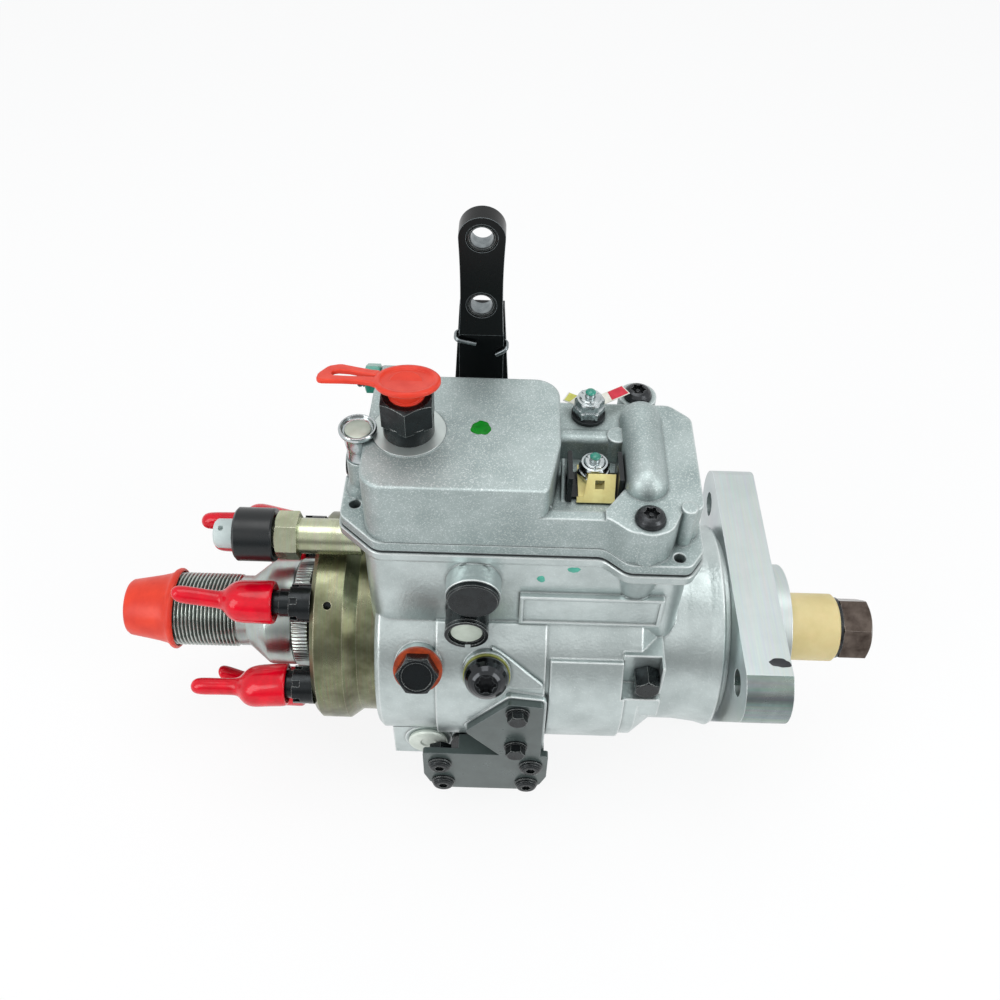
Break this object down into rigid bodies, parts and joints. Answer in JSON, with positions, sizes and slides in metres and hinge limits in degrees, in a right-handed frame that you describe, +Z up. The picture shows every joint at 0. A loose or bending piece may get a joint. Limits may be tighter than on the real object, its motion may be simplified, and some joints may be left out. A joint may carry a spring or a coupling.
{
  "type": "diesel injection pump",
  "caption": "Rotary diesel injection pump with drive shaft and triangular flange, throttle lever, governor cover, capped delivery outlets and threaded fuel inlet.",
  "frame": {"origin": "on the drive shaft's axis, in the plane of the flange's mounting face, at the root of the pilot", "axes": "+X along the drive shaft out of the drive end, +Z up towards the governor cover, -Y towards the side with the bore plugs and the bracket"},
  "size_m": [0.3435, 0.131, 0.2582],
  "materials": {
    "cast_housing": "sand-cast, light satin",
    "cast_cover": "sand-cast, fine grain",
    "olive_zinc": "olive chromate on turned steel",
    "pale_olive": "pale chromate on turned steel",
    "bright_steel": "bright zinc",
    "turned_steel": "machined, clear zinc",
    "ground_steel": "ground",
    "black_phosphate": "black phosphate",
    "black_paint": "black, semi-gloss",
    "black_plastic": "black, satin",
    "brown_black_steel": "brown-black oxide",
    "red_vinyl": "glossy dipped vinyl",
    "red_plastic": "satin moulded plastic",
    "cream_plastic": "cream moulded plastic",
    "cream_nylon": "cream nylon sleeve",
    "orange_seal": "orange sealing washer",
    "yellow_zinc": "yellow-green chromate",
    "gasket_black": "black gasket"
  },
  "bodies": {
    "pump": {"main_housing": "cast_housing", "cover_gasket": "gasket_black", "governor_cover": "cast_cover", "cover_screws": "black_phosphate", "seal_cup": "bright_steel", "side_screw": "black_phosphate", "return_fitting": "black_phosphate", "terminal_insulators": "black_plastic", "terminal_studs": "bright_steel", "terminal_nuts": "bright_steel", "spade_tab": "cream_plastic", "terminal_guard": "black_plastic", "hydraulic_head": "olive_zinc", "delivery_holders": "black_phosphate", "end_cap_seal": "gasket_black", "inlet_connector": "turned_steel", "line_connector": "pale_olive", "bore_plugs": "black_plastic", "pivot_snap_ring": "ground_steel", "lock_washers": "orange_seal", "lock_screws": "black_phosphate", "dome_washer": "yellow_zinc", "dome_plug": "ground_steel", "port_plug": "bright_steel", "pocket_bolt": "black_phosphate", "side_bracket": "black_paint", "bracket_screws": "black_phosphate", "gusset_bolts": "black_phosphate", "shaft_bearing": "ground_steel", "shaft_seal": "gasket_black", "advance_plugs": "bright_steel", "pivot_pin": "ground_steel"},
    "drive": {"drive_shaft": "ground_steel", "shaft_sleeve": "cream_nylon", "shaft_washer": "bright_steel", "shaft_nut": "brown_black_steel", "governor_cage": "ground_steel", "governor_weights": "ground_steel", "distributor_rotor": "ground_steel", "cam_rollers": "ground_steel"},
    "thrust_sleeve": {"thrust_sleeve": "ground_steel"},
    "governor_arm": {"governor_arm": "ground_steel"},
    "cam": {"cam_ring": "ground_steel"},
    "advance_piston": {"advance_piston": "ground_steel"},
    "throttle": {"throttle_shaft": "ground_steel", "lever_arm": "black_paint", "throttle_lever": "black_paint", "lever_bushes": "bright_steel", "lever_nut": "bright_steel", "throttle_spring": "ground_steel"},
    "metering_valve": {"metering_valve": "ground_steel"},
    "inlet_cap": {"inlet_cap": "red_plastic"},
    "line_cap": {"line_cap": "black_plastic"},
    "return_cap": {"return_cap": "red_plastic"},
    "delivery_cap_1": {"delivery_cap_1": "red_vinyl"},
    "delivery_cap_2": {"delivery_cap_2": "red_vinyl"},
    "delivery_cap_3": {"delivery_cap_3": "red_vinyl"},
    "delivery_cap_4": {"delivery_cap_4": "red_vinyl"},
    "delivery_cap_5": {"delivery_cap_5": "red_vinyl"},
    "delivery_cap_6": {"delivery_cap_6": "red_vinyl"}
  },
  "joints": [
    {"name": "drive_spin", "type": "hinge", "parent": "pump", "child": "drive", "pos_m": [0, 0, 0], "axis": [1, 0, 0], "continuous": true},
    {"name": "thrust_slide", "type": "slide", "parent": "drive", "child": "thrust_sleeve", "axis": [-1, 0, 0], "range_m": [0, 0.003]},
    {"name": "governor_arm_pivot", "type": "hinge", "parent": "pump", "child": "governor_arm", "pos_m": [-0.131, 0, 0.0486], "axis": [0, 1, 0], "range_deg": [0, 3.6]},
    {"name": "cam_advance", "type": "hinge", "parent": "pump", "child": "cam", "pos_m": [-0.127, 0, 0], "axis": [1, 0, 0], "range_deg": [0, 5]},
    {"name": "advance_slide", "type": "slide", "parent": "pump", "child": "advance_piston", "axis": [0, 1, 0], "range_m": [0, 0.0047]},
    {"name": "throttle_turn", "type": "hinge", "parent": "pump", "child": "throttle", "pos_m": [-0.1285, 0, 0.069], "axis": [0, 1, 0], "range_deg": [-25, 30]},
    {"name": "metering_turn", "type": "hinge", "parent": "pump", "child": "metering_valve", "pos_m": [-0.15, 0, 0.03], "axis": [0, 0, 1], "range_deg": [-30, 25]},
    {"name": "inlet_cap_pull", "type": "slide", "parent": "pump", "child": "inlet_cap", "axis": [-1, 0, 0], "range_m": [0, 0.03]},
    {"name": "line_cap_pull", "type": "slide", "parent": "pump", "child": "line_cap", "axis": [-1, 0, 0], "range_m": [0, 0.03]},
    {"name": "return_cap_pull", "type": "slide", "parent": "pump", "child": "return_cap", "axis": [0, 0, 1], "range_m": [0, 0.03]},
    {"name": "delivery_cap_1_pull", "type": "slide", "parent": "pump", "child": "delivery_cap_1", "axis": [-1, 0, 0], "range_m": [0, 0.03]},
    {"name": "delivery_cap_2_pull", "type": "slide", "parent": "pump", "child": "delivery_cap_2", "axis": [-1, 0, 0], "range_m": [0, 0.03]},
    {"name": "delivery_cap_3_pull", "type": "slide", "parent": "pump", "child": "delivery_cap_3", "axis": [-1, 0, 0], "range_m": [0, 0.03]},
    {"name": "delivery_cap_4_pull", "type": "slide", "parent": "pump", "child": "delivery_cap_4", "axis": [-1, 0, 0], "range_m": [0, 0.03]},
    {"name": "delivery_cap_5_pull", "type": "slide", "parent": "pump", "child": "delivery_cap_5", "axis": [-1, 0, 0], "range_m": [0, 0.03]},
    {"name": "delivery_cap_6_pull", "type": "slide", "parent": "pump", "child": "delivery_cap_6", "axis": [-1, 0, 0], "range_m": [0, 0.03]}
  ],
  "couplings": [
    {"joint": "governor_arm_pivot", "follows": "thrust_slide", "rad_per_m": 20.58},
    {"joint": "advance_slide", "follows": "cam_advance", "m_per_rad": 0.053},
    {"joint": "metering_turn", "follows": "throttle_turn", "ratio": -1}
  ]
}
